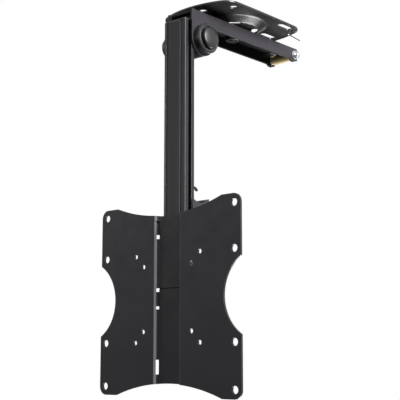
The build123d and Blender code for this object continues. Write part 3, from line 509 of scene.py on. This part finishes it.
def left_cap():
    """Domed cap over the hinge bolt's far end, a little taller than the near one."""
    low, high, middle = middle_of("hub_cap_left")
    radius = (high.z - low.z) / 2
    extra_height = 3.4
    height = high.x - low.x + extra_height
    crown = 2.6
    side = height - crown
    crown_radius = (radius ** 2 + crown ** 2) / (2 * crown)
    foot_edge = 0.3
    edge = 0.9
    rings = [level(0, radius - foot_edge), level(foot_edge, radius), level(side - edge, radius)]
    for share in (0.35, 0.7, 1.0):
        angle = share * math.pi / 3
        rings.append(level(side - edge + edge * math.sin(angle), radius - edge + edge * math.cos(angle)))
    for share in (0.93, 0.8, 0.65, 0.5, 0.35, 0.2, 0.08):
        reach = radius * share
        drop = crown_radius - math.sqrt(crown_radius ** 2 - reach ** 2)
        rings.append(level(height - drop, reach))
    mesh = bmesh.new()
    add_rings(mesh, placed(rings, (high.x, middle.y, middle.z), (-1, 0, 0)))
    cap = add_piece("hub_cap_left_domed", mesh, "arm", "black_plastic")
    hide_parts("hub_cap_left")


def swivel_fasteners():
    """Swivel bolt with its hexagon head in the dome, and the nut under the arm's web."""
    low, high, _ = middle_of("swivel_bolt")
    nut_low, nut_high, _ = middle_of("swivel_nut")
    flats = 17.0
    head_height = 5.0
    bolt_radius = 4.98
    pitch = 1.5
    smooth_end = high.z - nut_high.z
    mesh = bmesh.new()
    rings = hex_levels(flats, 0, head_height)
    rings += [level(head_height, bolt_radius), level(smooth_end, bolt_radius)]
    rings += thread_levels(bolt_radius, pitch, smooth_end + THREAD_START, high.z - low.z)
    add_rings(mesh, placed(rings, (0, 0, high.z), (0, 0, -1)))
    bolt = add_piece("swivel_bolt_turned", mesh, "base", "black_screws")
    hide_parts("swivel_bolt")
    bore = 5.05
    bore_edge = 0.5
    bore_mouth = 5.5
    height = nut_high.z - nut_low.z
    mesh = bmesh.new()
    rings = [level(bore_edge, bore), level(0, bore_mouth)] + hex_levels(flats, 0, height)
    rings += [level(height, bore_mouth), level(height - bore_edge, bore)]
    add_rings(mesh, placed(rings, (0, 0, nut_high.z), (0, 0, -1)), loop=True)
    nut = add_piece("swivel_nut_turned", mesh, "base", "black_screws")
    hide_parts("swivel_nut")


def socket_screws(name, node, body, spots, way_of, head, shank):
    """Socket screws at spots: head is (radius, height, socket), shank is (radius, length)."""
    head_radius, head_height, socket = head
    radius, length = shank
    point = 0.4
    rings = [level(-length, radius - point), level(-length + point, radius), level(0, radius)]
    rings += socket_levels(head_radius, head_height, socket, head_height * 0.6)
    mesh = bmesh.new()
    for spot in spots:
        add_rings(mesh, placed(rings, spot, Vector(way_of(spot))))
    piece = add_piece(name, mesh, body, slot_of[node])
    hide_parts(node)


roller_fasteners()
roller_tube()
left_cap()
swivel_fasteners()

# Button heads on the bracket's two sides; their shanks end in the slide nuts
slot_low, slot_high, slot_mid = middle_of("slot_screws")
slot_head_radius = 4.75
slot_head_height = 2.8
slot_seat_x = slot_high.x - slot_head_height
slot_nut_x = 12.7
slot_spots = [
    (side * slot_seat_x, slot_mid.y, z)
    for side in (-1, 1)
    for z in (slot_low.z + slot_head_radius, slot_high.z - slot_head_radius)
]
socket_screws(
    "slot_screw_heads", "slot_screws", "column", slot_spots,
    lambda spot: (math.copysign(1, spot[0]), 0, 0),
    (slot_head_radius, slot_head_height, 3.0), (2.48, slot_seat_x - slot_nut_x),
)

# Screws through the knuckle into the nut plate inside the column
knuckle_low, knuckle_high, _ = middle_of("knuckle_screws")
knuckle_head_radius = 5.0
knuckle_head_height = 4.0
knuckle_seat_y = knuckle_high.y - knuckle_head_height
knuckle_spots = [
    (x, knuckle_seat_y, z)
    for x in (knuckle_low.x + knuckle_head_radius, knuckle_high.x - knuckle_head_radius)
    for z in (knuckle_low.z + knuckle_head_radius, knuckle_high.z - knuckle_head_radius)
]
socket_screws(
    "knuckle_screw_heads", "knuckle_screws", "column", knuckle_spots, lambda spot: (0, 1, 0),
    (knuckle_head_radius, knuckle_head_height, 5.0), (2.98, knuckle_seat_y - knuckle_low.y),
)


# Torsion spring with its two legs

def latch_spring():
    """Coil of wire round the latch's spacer, with a straight leg at each end."""
    low, high, middle = middle_of("latch_spring")
    wire_radius = 0.6
    radius = (high.z - low.z) / 2 - wire_radius
    turns = 5
    points_per_turn = 28
    leg = 13.0
    start_x = low.x + wire_radius
    end_x = high.x - wire_radius
    start_angle = math.radians(200)

    def on_coil(x, angle):
        return Vector((x, middle.y + radius * math.cos(angle), middle.z + radius * math.sin(angle)))

    first = on_coil(start_x, start_angle)
    first_way = Vector((0, math.sin(start_angle), -math.cos(start_angle)))
    points = [first + first_way * leg * share for share in (1.0, 0.66, 0.33, 0.08)]
    count = turns * points_per_turn
    for i in range(count + 1):
        angle = start_angle + 2 * math.pi * turns * i / count
        points.append(on_coil(start_x + (end_x - start_x) * i / count, angle))
    last_way = Vector((0, -math.sin(angle), math.cos(angle)))
    points += [points[-1] + last_way * leg * share for share in (0.08, 0.33, 0.66, 1.0)]
    mesh = bmesh.new()
    add_tube(mesh, points, wire_radius)
    spring = add_piece("latch_spring_wire", mesh, "column", "zinc_steel")
    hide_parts("latch_spring")


latch_spring()


# Weld beads that hold the bracket's flanges to the back of the screen plate

def weld_bead(mesh, start, end, width, height, up):
    """A rippled bead from start to end; up points out of the corner that it fills."""
    start = Vector(start)
    run = Vector(end) - start
    along = run.normalized()
    up = Vector(up).normalized()
    side = along.cross(up)
    count = max(8, int(run.length / 0.5))
    sides = 12
    rings = []
    for i in range(count + 1):
        share = i / count
        swell = math.sqrt(max(0.0, 1 - (2 * share - 1) ** 6)) * 0.95 + 0.05
        ripple = 1 + RIPPLE_SHARE * math.cos(share * run.length / RIPPLE_LENGTH * 2 * math.pi)
        ring = []
        for k in range(sides):
            angle = 2 * math.pi * k / sides
            across = side * math.cos(angle) * width / 2 * swell
            out = up * math.sin(angle) * height * swell * ripple
            ring.append((start + run * share + across + out) * MM)
        rings.append(ring)
    add_rings(mesh, rings)


plate_front_y = -119.25
plate_sheet = 2.5
plate_back_y = plate_front_y + plate_sheet
plate_middle_z = -355.0
flange_edge_x = 33.0
bead_length = 14.0
bead_width = 2.6
bead_height = 1.7
beads = bmesh.new()
for side in (-1, 1):
    for z in (-76.0, -22.0, 18.0, 60.0, 84.0):
        bottom = (side * flange_edge_x, plate_back_y, plate_middle_z + z - bead_length / 2)
        top = (side * flange_edge_x, plate_back_y, plate_middle_z + z + bead_length / 2)
        weld_bead(beads, bottom, top, bead_width, bead_height, (side, 1, 0))
add_piece("flange_welds", beads, "column", "black_steel", sharp_angle=80)


# Camera, solved from the hole patterns of the screen plate

camera_data = bpy.data.cameras.new("camera")
camera_data.lens = 86.9
camera_data.sensor_width = 36.0
camera_data.clip_start = 0.05
camera_data.clip_end = 60.0
camera = bpy.data.objects.new("camera", camera_data)
bpy.context.scene.collection.objects.link(camera)
forward = Vector((-0.65724, 0.73670, 0.1590)).normalized()
right = Vector((0.7462, 0.6658, 0.0)).normalized()
up = right.cross(forward)
rotation = Matrix((right, up, -forward)).transposed()
camera_place = (0.7596, -0.9138, -0.4192)
camera.matrix_world = Matrix.Translation(camera_place) @ rotation.to_4x4()
bpy.context.scene.camera = camera


# Floor

floor_z = -1.9
floor_half = 14.0
floor_mesh = bpy.data.meshes.new("floor")
signs = [(-1, -1), (1, -1), (1, 1), (-1, 1)]
floor_corners = [(x * floor_half, y * floor_half, floor_z) for x, y in signs]
floor_mesh.from_pydata(floor_corners, [], [(0, 1, 2, 3)])
floor = bpy.data.objects.new("floor", floor_mesh)
bpy.context.scene.collection.objects.link(floor)
floor_material, floor_tree, floor_shader = new_material("floor_paint")
floor_shader.inputs["Roughness"].default_value = 0.9
floor_shader.inputs["Specular IOR Level"].default_value = 0.1
floor_drift = spread(floor_tree, noise(floor_tree, object_coords(floor_tree, (1, 1, 1)), 1.5), 0.0, 1.0)
floor_tone = blend_colours(floor_tree, (0.46, 0.46, 0.46), (0.49, 0.49, 0.49), floor_drift)
floor_tree.links.new(floor_tone, floor_shader.inputs["Base Color"])
# A glow that only the camera sees keeps the floor pale as far as it reaches
floor_path = floor_tree.nodes.new("ShaderNodeLightPath")
floor_glow = spread(floor_tree, floor_path.outputs["Is Camera Ray"], 0.0, 0.78, 0.0, 1.0)
floor_tree.links.new(floor_glow, floor_shader.inputs["Emission Strength"])
floor_shader.inputs["Emission Color"].default_value = (1, 1, 1, 1)
floor_mesh.materials.append(floor_material)


# World: white where it is seen, directly or in a reflection, and a dim sky for the rest

world = bpy.data.worlds.new("world")
bpy.context.scene.world = world
world.use_nodes = True
world_tree = world.node_tree
world_tree.nodes.clear()
world_output = world_tree.nodes.new("ShaderNodeOutputWorld")
sky = world_tree.nodes.new("ShaderNodeBackground")
sky.inputs["Color"].default_value = (0.94, 0.96, 1.0, 1)
sky.inputs["Strength"].default_value = 0.15
white = world_tree.nodes.new("ShaderNodeBackground")
white.inputs["Color"].default_value = (1, 1, 1, 1)
white.inputs["Strength"].default_value = 1.0
path = world_tree.nodes.new("ShaderNodeLightPath")
seen = path.outputs["Is Camera Ray"]
for ray in ("Is Glossy Ray", "Is Transmission Ray"):
    either = world_tree.nodes.new("ShaderNodeMath")
    either.operation = "MAXIMUM"
    world_tree.links.new(seen, either.inputs[0])
    world_tree.links.new(path.outputs[ray], either.inputs[1])
    seen = either.outputs["Value"]
choice = world_tree.nodes.new("ShaderNodeMixShader")
world_tree.links.new(seen, choice.inputs["Fac"])
world_tree.links.new(sky.outputs["Background"], choice.inputs[1])
world_tree.links.new(white.outputs["Background"], choice.inputs[2])
world_tree.links.new(choice.outputs["Shader"], world_output.inputs["Surface"])


# Soft boxes

def soft_box(name, place, aim, size, power):
    """A white rectangular lamp at place, turned towards aim; size in metres, power in watts."""
    data = bpy.data.lights.new(name, "AREA")
    data.shape = "RECTANGLE"
    data.size, data.size_y = size
    data.energy = power
    lamp = bpy.data.objects.new(name, data)
    lamp.location = place
    lamp.rotation_mode = "QUATERNION"
    lamp.rotation_quaternion = (Vector(aim) - Vector(place)).to_track_quat("-Z", "Y")
    bpy.context.scene.collection.objects.link(lamp)


centre = (0, 0, -0.22)
dome = (0, 0, 0)
soft_box("key", (2.1, -0.24, 0.44), centre, (0.9, 1.1), 132)
soft_box("front", (0.33, -2.1, 0.22), centre, (0.35, 1.0), 2)
soft_box("front_left", (-1.45, -1.6, 0.17), centre, (0.9, 0.25), 1.6)
soft_box("below", (-0.1, 0.6, -0.8), dome, (0.4, 0.4), 9)
soft_box("back", (-1.3, 1.9, 0.7), centre, (1.2, 1.2), 8)

bpy.context.scene.view_settings.view_transform = "Standard"
